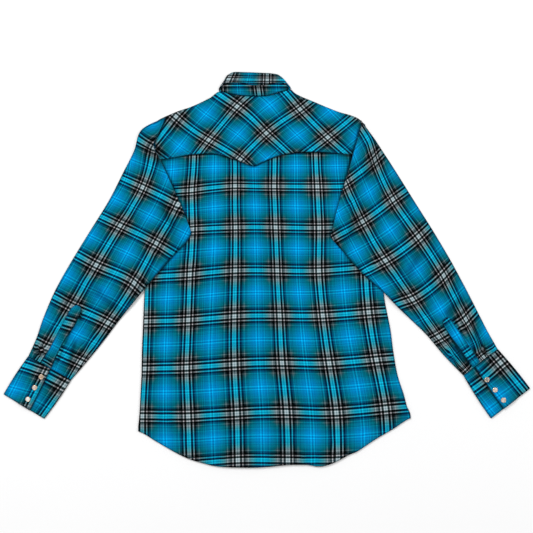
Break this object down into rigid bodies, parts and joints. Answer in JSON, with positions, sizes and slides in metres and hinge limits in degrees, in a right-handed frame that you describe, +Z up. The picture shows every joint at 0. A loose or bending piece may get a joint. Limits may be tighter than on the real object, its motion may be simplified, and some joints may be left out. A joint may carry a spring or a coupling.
{
  "type": "western snap shirt",
  "caption": "Brushed check flannel shirt laid flat, face down, with a pointed bias back yoke, lapped snap cuffs and a shirt-tail hem.",
  "frame": {"origin": "on the surface that the shirt lies on, under the middle of its outline", "axes": "+X from cuff to cuff, towards the wearer's right; +Y towards the collar; +Z up from the surface, out of the back"},
  "size_m": [1.1349, 0.8507, 0.0128],
  "materials": {
    "flannel": "brushed cotton twill in a blue, teal, black and pale grey check",
    "flannel_doubled": "the same brushed check, doubled or cut on the bias",
    "pearl_snap": "pearl cap in a polished metal ring"
  },
  "bodies": {
    "root": {"back": "flannel", "front_left": "flannel", "front_right": "flannel", "sleeve_left": "flannel", "sleeve_right": "flannel", "collar_leaf": "flannel", "back_yoke": "flannel_doubled", "collar_stand": "flannel_doubled", "cuff_left": "flannel_doubled", "cuff_right": "flannel_doubled", "sleeve_placket_left": "flannel_doubled", "sleeve_placket_right": "flannel_doubled", "cuff_snap_left_1": "pearl_snap", "cuff_snap_left_2": "pearl_snap", "cuff_snap_left_3": "pearl_snap", "cuff_snap_right_1": "pearl_snap", "cuff_snap_right_2": "pearl_snap", "cuff_snap_right_3": "pearl_snap", "front_snap_1": "pearl_snap", "front_snap_2": "pearl_snap", "front_snap_3": "pearl_snap", "front_snap_4": "pearl_snap", "front_snap_5": "pearl_snap", "front_snap_6": "pearl_snap", "front_snap_7": "pearl_snap", "collar_snap": "pearl_snap"}
  },
  "joints": []
}
